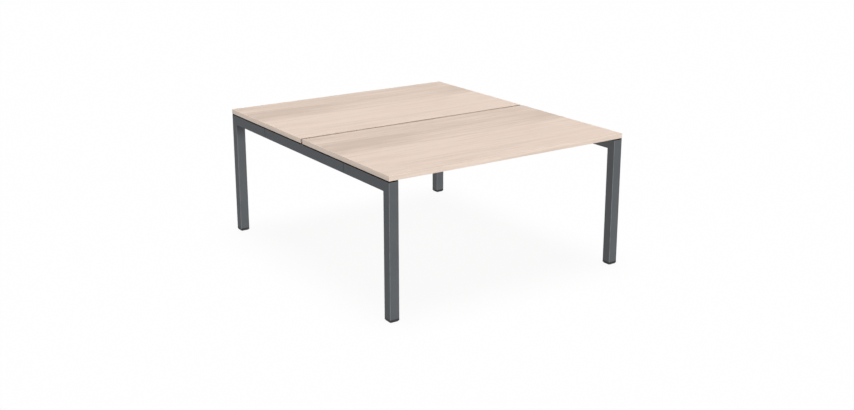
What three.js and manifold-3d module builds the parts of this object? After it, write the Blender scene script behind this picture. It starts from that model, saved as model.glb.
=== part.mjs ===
// Benching desk for two: a pair of desktops back to back with a cable gap between them, carried by
// two end frames of square tube, two lengthwise beams and four levelling feet.
// Millimetres. X runs along the desktops, Y across them from front to rear, Z up from the floor.

import * as THREE from 'three';
import { mergeVertices } from 'three/addons/utils/BufferGeometryUtils.js';
import loadManifold from 'manifold-3d';

// Overall
const WIDTH = 1440;
const TOP_DEPTH = 828;
const CABLE_GAP = 18;
const HEIGHT = 720;
const CLEARANCE = 0.3;

// Desktops: core board with an edge band on each side
const TOP_THICK = 25;
const BAND_THICK = 2;
const BAND_ROUND = 1;

// End frames: square tube, mitred at the top of each leg
const TUBE = 52;
const TUBE_WALL = 2;
const TUBE_ROUND = 3;
const SEAM_GAP = 4;
const SHADOW_GAP = 6;
const STRIP_INSET = 1;

// Sleeves inside the end rails, one behind each seam
const SLEEVE_LENGTH = 160;
const SLEEVE_WALL = 3;

// Lengthwise beams and their end flanges
const BEAM_HEIGHT = 50;
const BEAM_WIDTH = 30;
const BEAM_WALL = 2;
const BEAM_ROUND = 3;
const FLANGE_THICK = 5;
const FLANGE_WIDTH = 120;
const FLANGE_HEIGHT = 44;
const FLANGE_ROUND = 5;

// Flange bolts, socket button head
const BOLT_RADIUS = 3;
const BOLT_LENGTH = 16;
const BOLT_SPACING = 80;
const BOLT_HEAD_RADIUS = 6;
const BOLT_HEAD_HEIGHT = 3.5;
const BOLT_SOCKET_RADIUS = 2.3;
const BOLT_SOCKET_DEPTH = 2;
const BOLT_CHAMFER = 0.8;

// Desktop screws, pan head, driven up through the beams
const SCREW_RADIUS = 2.5;
const SCREW_BITE = 15;
const SCREW_POINT = 4;
const SCREW_HEAD_RADIUS = 5;
const SCREW_HEAD_HEIGHT = 3;
const SCREW_SPREAD = 900;

// Levelling feet: pad, threaded stem, and plug in the lower end of the leg
const PAD_SIZE = 45;
const PAD_ROUND = 4;
const PAD_THICK = 4.2;
const PAD_CHAMFER = 0.6;
const PAD_FLOOR = 1.5;
const STEM_RADIUS = 4;
const STEM_LENGTH = 40;
const STEM_CHAMFER = 1;
const PLUG_COLLAR = 10;
const PLUG_INSERT = 28;
const PLUG_WALL = 3;
const PLUG_BOSS_RADIUS = 9;

// Facets of round shapes
const TURNED_SEGMENTS = 16;
const HOLE_SEGMENTS = 4;
const ROUND_SEGMENTS = 2;
const BAND_SEGMENTS = 2;

// Levels and lines that follow from the sizes above
const DEPTH = 2 * TOP_DEPTH + CABLE_GAP;
const TOP_UNDER = HEIGHT - TOP_THICK;
const RAIL_TOP = TOP_UNDER - SHADOW_GAP;
const RAIL_AXIS = RAIL_TOP - TUBE / 2;
const COLLAR_FOOT = PAD_THICK + CLEARANCE;
const LEG_FOOT = COLLAR_FOOT + PLUG_COLLAR + CLEARANCE;
const FRAME_X = WIDTH / 2 - TUBE / 2;
const LEG_Y = DEPTH / 2 - TUBE / 2;
const DESK_Y = (TOP_DEPTH + CABLE_GAP) / 2;
const MITRE_SETBACK = CLEARANCE * Math.SQRT1_2;
const TUBE_INSIDE = TUBE - 2 * TUBE_WALL;
const CORE_SETBACK = BAND_THICK + CLEARANCE;
const FLANGE_OUT = WIDTH / 2 - TUBE - CLEARANCE;
const BEAM_OUT = FLANGE_OUT - FLANGE_THICK - CLEARANCE;
const BEAM_TOP = TOP_UNDER - CLEARANCE;
const BOLT_HOLE_RADIUS = BOLT_RADIUS + CLEARANCE;
const SCREW_HOLE_RADIUS = SCREW_RADIUS + CLEARANCE;
const STEM_HOLE_RADIUS = STEM_RADIUS + CLEARANCE;

const OVERLAP = 1;
const SHARPEST_ROUND = 0.5;
const QUARTER = Math.PI / 2;
const SIDES = [['left', -1], ['right', 1]];
const PLACES = [['front', -1], ['rear', 1]];

const FINISHES = {
  laminate: { color: '#e4cebd', roughness: 0.53, metalness: 0 },
  band: { color: '#ead6c5', roughness: 0.5, metalness: 0 },
  paint: { color: '#5a5e61', roughness: 0.57, metalness: 0 },
  zinc: { color: '#c2c6ca', roughness: 0.35, metalness: 1 },
  plastic: { color: '#1b1b1d', roughness: 0.55, metalness: 0 },
  rubber: { color: '#0d0c0b', roughness: 0.75, metalness: 0 },
};

const wasm = await loadManifold();
wasm.setup();

/** Closed solid from a geometry: positions welded, zero-area triangles at poles dropped. */
function solid(geometry) {
  const bare = new THREE.BufferGeometry();
  bare.setAttribute('position', geometry.getAttribute('position'));
  bare.setIndex(geometry.getIndex());
  const welded = mergeVertices(bare, 1e-4);
  const index = welded.getIndex().array;
  const triangles = [];
  for (let i = 0; i < index.length; i += 3) {
    const [a, b, c] = index.slice(i, i + 3);
    if (a !== b && b !== c && c !== a) {
      triangles.push(a, b, c);
    }
  }
  return new wasm.Manifold(new wasm.Mesh({
    numProp: 3,
    vertProperties: new Float32Array(welded.getAttribute('position').array),
    triVerts: new Uint32Array(triangles),
  }));
}

/** Geometry with flat-shaded faces from a solid. */
function surface(body) {
  const mesh = body.getMesh();
  const geometry = new THREE.BufferGeometry();
  geometry.setAttribute('position', new THREE.BufferAttribute(mesh.vertProperties, 3));
  geometry.setIndex(new THREE.BufferAttribute(mesh.triVerts, 1));
  const flat = geometry.toNonIndexed();
  flat.computeVertexNormals();
  return flat;
}

/** Geometry with other geometries cut out of it. */
function cut(geometry, cutters) {
  return surface(cutters.reduce((body, cutter) => body.subtract(solid(cutter)), solid(geometry)));
}

/** Outline of a rectangle with rounded corners, centred on the origin. */
function roundedOutline(width, height, radius, Outline) {
  const x = width / 2 - radius;
  const y = height / 2 - radius;
  const outline = new Outline();
  outline.absarc(x, y, radius, 0, QUARTER, false);
  outline.absarc(-x, y, radius, QUARTER, 2 * QUARTER, false);
  outline.absarc(-x, -y, radius, 2 * QUARTER, 3 * QUARTER, false);
  outline.absarc(x, -y, radius, 3 * QUARTER, 4 * QUARTER, false);
  outline.closePath();
  return outline;
}

/** Corner radius left when a rounded outline is offset inwards. */
function insideRound(radius, offset) {
  return Math.max(radius - offset, SHARPEST_ROUND);
}

/** Straight prism of a shape, from z = 0 upwards. */
function prism(shape, length, segments) {
  return new THREE.ExtrudeGeometry(shape, { depth: length, bevelEnabled: false, curveSegments: segments });
}

/** Hollow section from z = 0 upwards; the far end may be mitred, sloping with y. */
function hollow(width, height, radius, wall, length, slope = 0) {
  const shape = roundedOutline(width, height, radius, THREE.Shape);
  const inside = insideRound(radius, wall);
  shape.holes.push(roundedOutline(width - 2 * wall, height - 2 * wall, inside, THREE.Path));
  const geometry = prism(shape, length, ROUND_SEGMENTS);
  const position = geometry.getAttribute('position');
  for (let i = 0; i < position.count; i += 1) {
    if (position.getZ(i) > length / 2) {
      position.setZ(i, length + slope * position.getY(i));
    }
  }
  return geometry;
}

/** Round drill along the named axis, centred on a point. */
function drill(radius, length, axis, x, y, z) {
  const geometry = new THREE.CylinderGeometry(radius, radius, length, TURNED_SEGMENTS);
  if (axis === 'x') {
    geometry.rotateZ(QUARTER);
  } else {
    geometry.rotateX(QUARTER);
  }
  return geometry.translate(x, y, z);
}

/** Solid of revolution about Y from [radius, height] pairs, listed upwards from pole to pole. */
function turned(profile) {
  const points = profile.map(([radius, height]) => new THREE.Vector2(radius, height));
  return new THREE.LatheGeometry(points, TURNED_SEGMENTS);
}

/** One named piece in its own material, placed and turned within its group. */
function piece(name, geometry, finish, place = [0, 0, 0], turn = [0, 0, 0]) {
  const mesh = new THREE.Mesh(geometry, new THREE.MeshStandardMaterial(FINISHES[finish]));
  mesh.name = name;
  mesh.position.set(...place);
  mesh.rotation.set(...turn);
  return mesh;
}

/** Group of pieces about one point of the desk. */
function assembly(place, pieces) {
  const group = new THREE.Group();
  group.position.set(...place);
  group.add(...pieces);
  return group;
}

/** Edge band facing +X with its outer long edges rounded, centred on its inner face's middle. */
function edgeBand(length) {
  const half = TOP_THICK / 2;
  const flat = BAND_THICK - BAND_ROUND;
  const shape = new THREE.Shape();
  shape.moveTo(0, -half);
  shape.lineTo(flat, -half);
  shape.absarc(flat, BAND_ROUND - half, BAND_ROUND, -QUARTER, 0, false);
  shape.lineTo(BAND_THICK, half - BAND_ROUND);
  shape.absarc(flat, half - BAND_ROUND, BAND_ROUND, 0, QUARTER, false);
  shape.lineTo(0, half);
  shape.closePath();
  return prism(shape, length, BAND_SEGMENTS).translate(0, 0, -length / 2).rotateX(QUARTER);
}

/** Plug: collar with the leg's outline, hollow insert up the tube, and a boss for the stem. */
function plug() {
  const insert = TUBE_INSIDE - 2 * CLEARANCE;
  const insertRound = insideRound(TUBE_ROUND, TUBE_WALL + CLEARANCE);
  const rise = PLUG_INSERT + OVERLAP;
  const foot = PLUG_COLLAR - OVERLAP;
  const collar = prism(roundedOutline(TUBE, TUBE, TUBE_ROUND, THREE.Shape), PLUG_COLLAR, ROUND_SEGMENTS);
  const walls = hollow(insert, insert, insertRound, PLUG_WALL, rise).translate(0, 0, foot);
  const boss = drill(PLUG_BOSS_RADIUS, rise, 'z', 0, 0, foot + rise / 2);
  const height = PLUG_COLLAR + PLUG_INSERT;
  const bore = drill(STEM_HOLE_RADIUS, 2 * height, 'z', 0, 0, height / 2);
  return surface(solid(collar).add(solid(walls)).add(solid(boss)).subtract(solid(bore)));
}

/** Threaded stem at its major diameter, chamfered at both ends, from y = 0 upwards. */
function stem() {
  const tip = STEM_RADIUS - STEM_CHAMFER;
  return surface(solid(turned([
    [0, 0],
    [tip, 0],
    [STEM_RADIUS, STEM_CHAMFER],
    [STEM_RADIUS, STEM_LENGTH - STEM_CHAMFER],
    [tip, STEM_LENGTH],
    [0, STEM_LENGTH],
  ])));
}

/** Pad: rounded square with a chamfered lower rim and a blind socket for the stem. */
function pad() {
  const inner = PAD_SIZE - 2 * PAD_CHAMFER;
  const shape = roundedOutline(inner, inner, PAD_ROUND - PAD_CHAMFER, THREE.Shape);
  const body = new THREE.ExtrudeGeometry(shape, {
    depth: PAD_THICK - PAD_CHAMFER,
    bevelThickness: PAD_CHAMFER,
    bevelSize: PAD_CHAMFER,
    bevelSegments: 1,
    curveSegments: ROUND_SEGMENTS,
  });
  body.translate(0, 0, PAD_CHAMFER);
  const flush = new THREE.BoxGeometry(2 * PAD_SIZE, 2 * PAD_SIZE, PAD_THICK);
  flush.translate(0, 0, 1.5 * PAD_THICK);
  const socket = drill(STEM_HOLE_RADIUS, 2 * (PAD_THICK - PAD_FLOOR), 'z', 0, 0, PAD_THICK);
  return cut(body, [flush, socket]);
}

/** Button-head bolt: shank below y = 0, head above it with a hexagon socket. */
function bolt() {
  const body = turned([
    [0, -BOLT_LENGTH],
    [BOLT_RADIUS - BOLT_CHAMFER, -BOLT_LENGTH],
    [BOLT_RADIUS, BOLT_CHAMFER - BOLT_LENGTH],
    [BOLT_RADIUS, 0],
    [BOLT_HEAD_RADIUS, 0],
    [BOLT_HEAD_RADIUS * 0.9, BOLT_HEAD_HEIGHT * 0.6],
    [BOLT_HEAD_RADIUS * 0.6, BOLT_HEAD_HEIGHT],
    [0, BOLT_HEAD_HEIGHT],
  ]);
  const depth = 2 * BOLT_SOCKET_DEPTH;
  const socket = new THREE.CylinderGeometry(BOLT_SOCKET_RADIUS, BOLT_SOCKET_RADIUS, depth, 6);
  return cut(body, [socket.translate(0, BOLT_HEAD_HEIGHT, 0)]);
}

/** Pan-head screw: head below y = 0, shank up through the beam, point in the desktop. */
function screw() {
  const reach = BEAM_HEIGHT + 2 * CLEARANCE + SCREW_BITE;
  return surface(solid(turned([
    [0, -SCREW_HEAD_HEIGHT],
    [SCREW_HEAD_RADIUS * 0.7, -SCREW_HEAD_HEIGHT],
    [SCREW_HEAD_RADIUS, -SCREW_HEAD_HEIGHT * 0.4],
    [SCREW_HEAD_RADIUS, 0],
    [SCREW_RADIUS, 0],
    [SCREW_RADIUS, reach - SCREW_POINT],
    [0, reach],
  ])));
}

/** One desktop about its middle: core board drilled for the screws, and four edge bands. */
function desktop(place, sign) {
  const coreWidth = WIDTH - 2 * CORE_SETBACK;
  const coreDepth = TOP_DEPTH - 2 * CORE_SETBACK;
  const core = new THREE.BoxGeometry(coreWidth, coreDepth, TOP_THICK);
  const bite = SCREW_BITE + CLEARANCE;
  const pilots = SIDES.map(([, side]) => (
    drill(SCREW_HOLE_RADIUS, 2 * bite, 'z', side * SCREW_SPREAD / 2, 0, -TOP_THICK / 2)
  ));
  const along = coreWidth / 2 + CLEARANCE;
  const across = coreDepth / 2 + CLEARANCE;
  const facing = sign * QUARTER;
  return assembly([0, sign * DESK_Y, HEIGHT - TOP_THICK / 2], [
    piece(`top_${place}_board`, cut(core, pilots), 'laminate'),
    piece(`band_${place}_outer`, edgeBand(WIDTH), 'band', [0, sign * across, 0], [0, 0, facing]),
    piece(`band_${place}_inner`, edgeBand(WIDTH), 'band', [0, -sign * across, 0], [0, 0, -facing]),
    piece(`band_${place}_left`, edgeBand(coreDepth), 'band', [-along, 0, 0], [0, 0, 2 * QUARTER]),
    piece(`band_${place}_right`, edgeBand(coreDepth), 'band', [along, 0, 0]),
  ]);
}

/** Lengthwise beam under one desktop, with the screws that hold the desktop down. */
function beam(place, sign) {
  const length = 2 * BEAM_OUT;
  const tube = hollow(BEAM_HEIGHT, BEAM_WIDTH, BEAM_ROUND, BEAM_WALL, length);
  tube.translate(0, 0, -length / 2).rotateY(QUARTER);
  const stations = SIDES.map(([side, sideSign]) => [side, sideSign * SCREW_SPREAD / 2]);
  const holes = stations.map(([, x]) => drill(SCREW_HOLE_RADIUS, 2 * BEAM_HEIGHT, 'z', x, 0, 0));
  const head = -BEAM_HEIGHT / 2 - CLEARANCE;
  return assembly([0, sign * DESK_Y, BEAM_TOP - BEAM_HEIGHT / 2], [
    piece(`beam_${place}`, cut(tube, holes), 'paint'),
    ...stations.map(([side, x]) => (
      piece(`screw_${place}_${side}`, screw(), 'zinc', [x, 0, head], [QUARTER, 0, 0])
    )),
  ]);
}

/** Leg, plug, stem and pad on one upright line. */
function leg(side, sideSign, place, sign) {
  const label = `${side}_${place}`;
  const length = RAIL_AXIS - MITRE_SETBACK - LEG_FOOT;
  const tube = hollow(TUBE, TUBE, TUBE_ROUND, TUBE_WALL, length, sign);
  return assembly([sideSign * FRAME_X, sign * LEG_Y, 0], [
    piece(`leg_${label}`, tube, 'paint', [0, 0, LEG_FOOT]),
    piece(`plug_${label}`, plug(), 'plastic', [0, 0, COLLAR_FOOT]),
    piece(`stem_${label}`, stem(), 'zinc', [0, 0, PAD_FLOOR + CLEARANCE], [QUARTER, 0, 0]),
    piece(`pad_${label}`, pad(), 'plastic'),
  ]);
}

/** Arm of an end rail from a seam out to the mitre on its leg, and the strip under the desktop. */
function arm(side, sideSign, place, sign) {
  const label = `${side}_${place}`;
  const length = LEG_Y - MITRE_SETBACK - DESK_Y - SEAM_GAP / 2;
  const tube = hollow(TUBE, TUBE, TUBE_ROUND, TUBE_WALL, length, -sign);
  const reach = (BOLT_SPACING - SEAM_GAP) / 2;
  const hole = drill(BOLT_HOLE_RADIUS, 4 * TUBE_WALL, 'x', -sideSign * TUBE / 2, 0, reach);
  const stripThick = SHADOW_GAP - 2 * CLEARANCE;
  const strip = new THREE.BoxGeometry(TUBE - 2 * STRIP_INSET, TOP_DEPTH - 2 * STRIP_INSET, stripThick);
  const stripLift = (TUBE + SHADOW_GAP) / 2;
  return assembly([sideSign * FRAME_X, sign * DESK_Y, RAIL_AXIS], [
    piece(`arm_${label}`, cut(tube, [hole]), 'paint', [0, sign * SEAM_GAP / 2, 0], [-sign * QUARTER, 0, 0]),
    piece(`strip_${label}`, strip, 'rubber', [0, 0, stripLift]),
  ]);
}

/** Middle piece of an end rail, drilled near both ends for the flange bolts. */
function middleRail(side, sideSign) {
  const length = 2 * DESK_Y - SEAM_GAP;
  const inner = -sideSign * TUBE / 2;
  const tube = hollow(TUBE, TUBE, TUBE_ROUND, TUBE_WALL, length).translate(0, 0, -length / 2);
  const holes = PLACES.map(([, sign]) => (
    drill(BOLT_HOLE_RADIUS, 4 * TUBE_WALL, 'x', inner, 0, sign * (DESK_Y - BOLT_SPACING / 2))
  ));
  return assembly([sideSign * FRAME_X, 0, RAIL_AXIS], [
    piece(`rail_${side}_middle`, cut(tube, holes), 'paint', [0, 0, 0], [QUARTER, 0, 0]),
  ]);
}

/** Sleeve behind a seam, the beam's flange over that seam, and the two bolts through both. */
function railJoint(side, sideSign, place, sign) {
  const label = `${side}_${place}`;
  const stations = [['outer', sign * BOLT_SPACING / 2], ['inner', -sign * BOLT_SPACING / 2]];

  const size = TUBE_INSIDE - 2 * CLEARANCE;
  const round = insideRound(TUBE_ROUND, TUBE_WALL + CLEARANCE);
  const tube = hollow(size, size, round, SLEEVE_WALL, SLEEVE_LENGTH).translate(0, 0, -SLEEVE_LENGTH / 2);
  const threads = stations.map(([, step]) => (
    drill(BOLT_HOLE_RADIUS, 4 * SLEEVE_WALL, 'x', -sideSign * size / 2, 0, step)
  ));

  const outline = roundedOutline(FLANGE_WIDTH, FLANGE_HEIGHT, FLANGE_ROUND, THREE.Shape);
  for (const [, step] of stations) {
    const hole = new THREE.Path();
    hole.absarc(step, 0, BOLT_HOLE_RADIUS, 0, 4 * QUARTER, true);
    outline.holes.push(hole);
  }
  const flange = prism(outline, FLANGE_THICK, HOLE_SEGMENTS).translate(0, 0, -FLANGE_THICK / 2);
  flange.rotateX(QUARTER).rotateZ(QUARTER);

  const flangeX = sideSign * (FLANGE_OUT - FLANGE_THICK / 2);
  const headX = sideSign * (FLANGE_OUT - FLANGE_THICK - CLEARANCE);
  return assembly([0, sign * DESK_Y, RAIL_AXIS], [
    piece(`sleeve_${label}`, cut(tube, threads), 'paint', [sideSign * FRAME_X, 0, 0], [QUARTER, 0, 0]),
    piece(`flange_${label}`, flange, 'paint', [flangeX, 0, 0]),
    ...stations.map(([name, step]) => (
      piece(`bolt_${label}_${name}`, bolt(), 'zinc', [headX, step, 0], [0, 0, sideSign * QUARTER])
    )),
  ]);
}

const desk = new THREE.Group();
for (const [place, sign] of PLACES) {
  desk.add(desktop(place, sign), beam(place, sign));
}
for (const [side, sideSign] of SIDES) {
  desk.add(middleRail(side, sideSign));
  for (const [place, sign] of PLACES) {
    desk.add(leg(side, sideSign, place, sign), arm(side, sideSign, place, sign));
    desk.add(railJoint(side, sideSign, place, sign));
  }
}

export default desk;
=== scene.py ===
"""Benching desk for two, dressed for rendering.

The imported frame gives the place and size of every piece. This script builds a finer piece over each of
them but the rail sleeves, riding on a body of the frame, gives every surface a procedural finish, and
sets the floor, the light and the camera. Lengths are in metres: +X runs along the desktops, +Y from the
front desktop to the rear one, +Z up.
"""

from __future__ import annotations

import logging
import math
from collections.abc import Callable, Iterable, Sequence
from dataclasses import dataclass, field
from enum import Enum
from functools import partial, reduce

import bmesh
import bpy
from bpy.types import Material, Node, NodeOutputs, NodeSocket, NodeTree, Object
from mathutils import Color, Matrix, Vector
from mathutils.geometry import tessellate_polygon

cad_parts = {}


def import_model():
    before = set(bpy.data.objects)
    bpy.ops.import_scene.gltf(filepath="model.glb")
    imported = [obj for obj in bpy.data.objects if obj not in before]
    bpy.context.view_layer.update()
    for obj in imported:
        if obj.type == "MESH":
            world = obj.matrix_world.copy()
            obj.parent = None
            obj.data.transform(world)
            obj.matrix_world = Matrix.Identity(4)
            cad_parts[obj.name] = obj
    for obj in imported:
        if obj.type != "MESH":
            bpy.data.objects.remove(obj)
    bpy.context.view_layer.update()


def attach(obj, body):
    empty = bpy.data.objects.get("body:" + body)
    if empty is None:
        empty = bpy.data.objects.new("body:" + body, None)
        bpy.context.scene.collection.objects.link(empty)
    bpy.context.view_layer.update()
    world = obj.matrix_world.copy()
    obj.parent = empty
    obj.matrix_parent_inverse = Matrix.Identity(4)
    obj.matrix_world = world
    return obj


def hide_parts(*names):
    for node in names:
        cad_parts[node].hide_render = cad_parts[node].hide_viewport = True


LOG = logging.getLogger("benching_desk")
QUARTER = math.pi / 2
CORNER_STEPS = 6
RING_POINTS = 4 * (CORNER_STEPS + 1)
TURNED_POINTS = 24
SHARP_ANGLE = math.radians(32)
FLAT_WEIGHT = 100

Flat = tuple[float, float]
Point = tuple[float, float, float]
Outline = list[Flat]
Ring = list[Point]
Feed = float | NodeSocket


class Half(Enum):
    """Half of the desk, with the sign of its axis as value."""

    @property
    def label(self) -> str:
        """Name of this half in the frame's nodes."""
        return self.name.lower()


class Side(Half):
    """End of the desk, along X."""

    LEFT = -1.0
    RIGHT = 1.0


class Place(Half):
    """One of the two desktops, along Y."""

    FRONT = -1.0
    REAR = 1.0


class Edge(Enum):
    """Edge of a desktop, with the name that its band has in the frame as value."""

    OUTER = "outer"
    INNER = "inner"
    LEFT = "left"
    RIGHT = "right"


class Lie(Enum):
    """How a tube's outline lies, with how far its second axis points along Y and along Z as value."""

    LEG = (1.0, 0.0)
    MITRE = (1.0, 1.0)
    ARM = (0.0, 1.0)


class Slot(Enum):
    """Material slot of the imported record."""

    LAMINATE = "laminate"
    EDGE_BAND = "edge_band"
    FRAME_PAINT = "frame_paint"
    ZINC = "zinc"
    FOOT_PLASTIC = "foot_plastic"
    STRIP_RUBBER = "strip_rubber"


@dataclass(frozen=True)
class Layout:
    """Main sizes of the desk, the same as in the frame."""

    width: float = 1.440
    top_depth: float = 0.828
    cable_gap: float = 0.018
    height: float = 0.720
    top_thick: float = 0.025
    shadow_gap: float = 0.006
    tube: float = 0.052
    tube_wall: float = 0.002
    tube_round: float = 0.003
    seam_gap: float = 0.004
    seam_chamfer: float = 0.0003
    clearance: float = 0.0003

    @property
    def desk_y(self) -> float:
        """Distance of a desktop's middle, its beam and the rail seams from the middle of the desk."""
        return (self.top_depth + self.cable_gap) / 2

    @property
    def frame_x(self) -> float:
        """Distance of the end frames from the middle of the desk."""
        return (self.width - self.tube) / 2

    @property
    def leg_y(self) -> float:
        """Distance of the legs from the middle of the desk."""
        return self.top_depth + (self.cable_gap - self.tube) / 2

    @property
    def top_under(self) -> float:
        """Height of the desktops' undersides."""
        return self.height - self.top_thick

    @property
    def rail_axis(self) -> float:
        """Height of the end rails' middle line."""
        return self.top_under - self.shadow_gap - self.tube / 2

    def tube_outline(self, inset: float = 0.0) -> Outline:
        """Outline of a leg or rail, drawn in by an inset."""
        return square_outline(self.tube, self.tube_round, inset)


def rounded_outline(
    size: Flat, radius: float, inset: float = 0.0, steps: int = CORNER_STEPS
) -> Outline:
    """Rectangle with rounded corners about the origin.

    Args:
        size: Its size along both axes.
        radius: Radius of the corners.
        inset: How far its sides and corners are drawn in.
        steps: Straight pieces in each corner.

    Returns:
        The corner points, anticlockwise from the right side's upper end.
    """
    bend = radius - inset
    across, along = [(length - 2 * inset) / 2 - bend for length in size]
    points: Outline = []
    for quarter, (right, up) in enumerate(((1, 1), (-1, 1), (-1, -1), (1, -1))):
        for step in range(steps + 1):
            angle = (quarter + step / steps) * QUARTER
            points.append((right * across + bend * math.cos(angle), up * along + bend * math.sin(angle)))
    return points


def square_outline(width: float, radius: float, inset: float = 0.0) -> Outline:
    """Square with rounded corners about the origin, drawn in by an inset."""
    return rounded_outline((width, width), radius, inset)


def circle_outline(radius: float, count: int = RING_POINTS, lead: float = 0.5) -> Outline:
    """Circle about the origin, its first point a share of a step past the first axis."""
    angles = [2 * math.pi * (index + lead) / count for index in range(count)]
    return [(radius * math.cos(angle), radius * math.sin(angle)) for angle in angles]


def hexagon_outline(across: float) -> Outline:
    """Hexagon about the origin with a corner on the first axis, with as many points as a turned ring.

    Args:
        across: Distance between opposite sides.

    Returns:
        The points, anticlockwise.
    """
    points: Outline = []
    for index in range(TURNED_POINTS):
        angle = 2 * math.pi * index / TURNED_POINTS
        reach = across / 2 / math.cos(angle % (math.pi / 3) - math.pi / 6)
        points.append((reach * math.cos(angle), reach * math.sin(angle)))
    return points


def cross_outline(reach: float, half: float) -> Outline:
    """Cross recess about the origin, with as many points as a turned ring.

    Args:
        reach: Distance from the middle to an arm's end.
        half: Half an arm's width.

    Returns:
        The points, anticlockwise from the middle of the first arm's end.
    """
    middle = (reach + half) / 2
    arm = [(reach, 0.0), (reach, half), (middle, half), (half, half), (half, middle), (half, reach)]
    points: Outline = []
    for _ in range(4):
        points.extend(arm)
        arm = [(-along, across) for across, along in arm]
    return points


def level(outline: Outline, height: float) -> Ring:
    """Lays an outline flat at a height."""
    return [(across, along, height) for across, along in outline]


def turned(profile: Iterable[Flat]) -> list[Ring]:
    """Rings of a turned piece about Z, from the radius and the height of each."""
    return [level(circle_outline(radius, TURNED_POINTS, 0.0), height) for radius, height in profile]


def broken_ends(start: float, end: float, chamfer: float) -> list[Flat]:
    """Stations along a piece with broken ends, each with the inset of its outline."""
    return [(start, chamfer), (start + chamfer, 0.0), (end - chamfer, 0.0), (end, chamfer)]


class Shell:
    """Mesh that is put together from closed rings of points."""

    def __init__(self) -> None:
        """Starts with no points."""
        self.mesh = bmesh.new()

    def wall(self, rings: Sequence[Ring], closed: bool = False) -> list[list[bmesh.types.BMVert]]:
        """Adds rings of points and joins each to the next.

        Args:
            rings: The rings in order, all with equally many points.
            closed: Joins the last ring to the first one as well.

        Returns:
            The corners of each ring.
        """
        made = [[self.mesh.verts.new(point) for point in ring] for ring in rings]
        for first, second in zip(made, made[1:] + made[:1] if closed else made[1:]):
            for index, corner in enumerate(first):
                after = (index + 1) % len(first)
                self.mesh.faces.new((corner, first[after], second[after], second[index]))
        return made

    def loft(self, rings: Sequence[Ring], closed: bool = False) -> Shell:
        """Adds a solid that runs from ring to ring.

        Args:
            rings: The rings in order, all with equally many points.
            closed: Joins the last ring to the first one. Otherwise both get a flat cap.

        Returns:
            This shell.
        """
        made = self.wall(rings, closed)
        if not closed:
            self.mesh.faces.new(made[0])
            self.mesh.faces.new(made[-1])
        return self

    def pierced(self, outer: Sequence[Ring], holes: Sequence[Sequence[Ring]]) -> Shell:
        """Adds a plate with holes right through it.

        Args:
            outer: Rings of the plate's rim, from one face to the other.
            holes: Rings of each hole's wall, from the same face to the other.

        Returns:
            This shell.
        """
        walls = [self.wall(rings) for rings in (outer, *holes)]
        for end in (0, -1):
            rims = [wall[end] for wall in walls]
            corners = [corner for rim in rims for corner in rim]
            for triangle in tessellate_polygon([[corner.co for corner in rim] for rim in rims]):
                self.mesh.faces.new([corners[index] for index in triangle])
        return self

    def piece(self, name: str, place: Point = (0, 0, 0), turn: Point = (0, 0, 0)) -> Object:
        """Turns the mesh into an object of the scene, smooth but for its real edges.

        Args:
            name: Name of the piece.
            place: Where its own origin goes.
            turn: Its rotation about X, Y and Z.

        Returns:
            The new object.
        """
        bmesh.ops.recalc_face_normals(self.mesh, faces=self.mesh.faces)
        data = bpy.data.meshes.new(name)
        self.mesh.to_mesh(data)
        self.mesh.free()
        data.shade_smooth()
        data.set_sharp_from_angle(angle=SHARP_ANGLE)
        made = bpy.data.objects.new(name, data)
        made.location = place
        made.rotation_euler = turn
        bpy.context.scene.collection.objects.link(made)
        weighted = made.modifiers.new("flat_faces", "WEIGHTED_NORMAL")
        weighted.keep_sharp = True
        weighted.weight = FLAT_WEIGHT
        return made


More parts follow.
